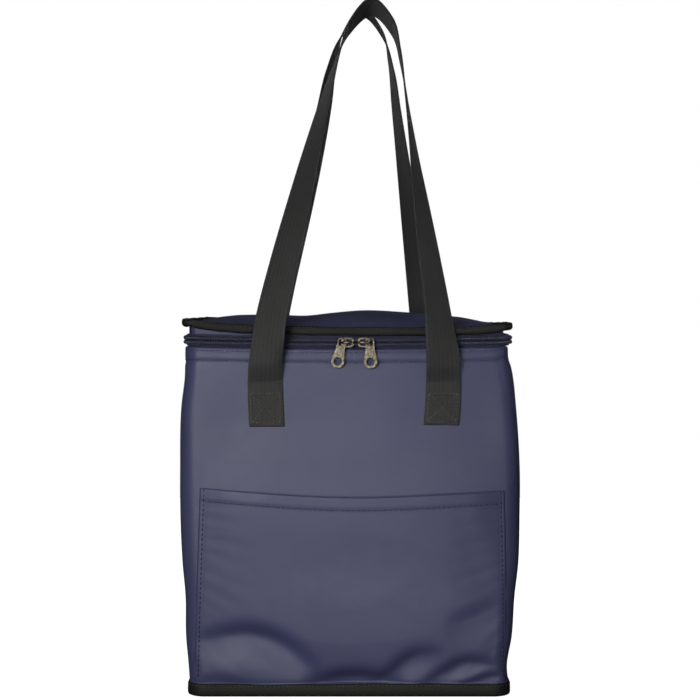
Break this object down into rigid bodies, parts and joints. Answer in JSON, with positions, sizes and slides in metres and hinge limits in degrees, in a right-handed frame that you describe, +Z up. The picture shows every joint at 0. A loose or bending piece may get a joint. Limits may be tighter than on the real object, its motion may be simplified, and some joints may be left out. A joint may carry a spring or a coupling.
{
  "type": "insulated cooler bag",
  "caption": "Soft insulated box bag with a zipped hinged lid, two standing webbing handles, two zip sliders with ring pulls and an open front slip pocket.",
  "frame": {"origin": "middle of the base, on the surface that the bag stands on", "axes": "+X to the right of someone facing the front, -Y out of the front with the pocket and the zip sliders, +Z up"},
  "size_m": [0.281, 0.2248, 0.5887],
  "materials": {
    "coated_fabric": "smooth matt polyurethane-coated fabric, navy",
    "webbing": "woven black webbing",
    "binding_tape": "ribbed black binding tape",
    "zip_tape": "woven navy zip tape",
    "zip_coil": "navy nylon coil",
    "pull_metal": "antique nickel plated zinc alloy",
    "foam": "white polyethylene foam",
    "foil": "silver foil laminate",
    "board": "grey stiffening board"
  },
  "bodies": {
    "bag": {"shell_wrap": "coated_fabric", "back_panel": "coated_fabric", "base_panel": "coated_fabric", "pocket_panel": "coated_fabric", "rim_hem": "coated_fabric", "hinge_strip": "zip_tape", "base_board": "board", "base_foam": "foam", "front_foam": "foam", "rear_foam": "foam", "left_foam": "foam", "right_foam": "foam", "liner_wall": "foil", "liner_floor": "foil", "base_binding": "binding_tape", "mouth_binding": "binding_tape", "zip_tape_body": "zip_tape", "zip_coil_body": "zip_coil", "zip_end_stops": "pull_metal", "front_handle_end_left": "webbing", "front_handle_end_right": "webbing", "rear_handle_end_left": "webbing", "rear_handle_end_right": "webbing"},
    "lid": {"lid_panel": "coated_fabric", "lid_foam": "foam", "lid_liner": "foil", "lid_inner_binding": "binding_tape", "lid_side_band": "coated_fabric", "lid_binding": "binding_tape", "lid_hinge_flap": "coated_fabric", "zip_tape_lid": "zip_tape", "zip_coil_lid": "zip_coil"},
    "front_handle": {"front_handle_loop": "webbing"},
    "rear_handle_root": {"rear_handle_roots": "webbing"},
    "rear_handle": {"rear_handle_loop": "webbing"},
    "slider_left": {"slider_left": "pull_metal"},
    "slider_right": {"slider_right": "pull_metal"},
    "pull_left": {"pull_left": "pull_metal"},
    "pull_right": {"pull_right": "pull_metal"}
  },
  "joints": [
    {"name": "lid_hinge", "type": "hinge", "parent": "bag", "child": "lid", "pos_m": [0, 0.088, 0.2967], "axis": [-1, 0, 0], "range_deg": [0, 110]},
    {"name": "front_handle_swing", "type": "hinge", "parent": "bag", "child": "front_handle", "pos_m": [0, -0.0925, 0.26], "axis": [1, 0, 0], "range_deg": [0, 145]},
    {"name": "rear_handle_yield", "type": "hinge", "parent": "bag", "child": "rear_handle_root", "pos_m": [0, 0.0925, 0.26], "axis": [-1, 0, 0], "range_deg": [0, 55]},
    {"name": "rear_handle_swing", "type": "hinge", "parent": "rear_handle_root", "child": "rear_handle", "pos_m": [0, 0.1012, 0.2752], "axis": [-1, 0, 0], "range_deg": [0, 90]},
    {"name": "slider_left_slide", "type": "slide", "parent": "bag", "child": "slider_left", "axis": [-1, 0, 0], "range_m": [0, 0.1]},
    {"name": "slider_right_slide", "type": "slide", "parent": "bag", "child": "slider_right", "axis": [1, 0, 0], "range_m": [0, 0.09]},
    {"name": "pull_left_swing", "type": "hinge", "parent": "slider_left", "child": "pull_left", "pos_m": [-0.0043, -0.0918, 0.2967], "axis": [0, 1, 0], "range_deg": [-25, 72]},
    {"name": "pull_right_swing", "type": "hinge", "parent": "slider_right", "child": "pull_right", "pos_m": [0.0175, -0.0918, 0.2967], "axis": [0, -1, 0], "range_deg": [-20, 82]}
  ],
  "couplings": [
    {"joint": "rear_handle_yield", "follows": "lid_hinge", "ratio": 0.5}
  ]
}
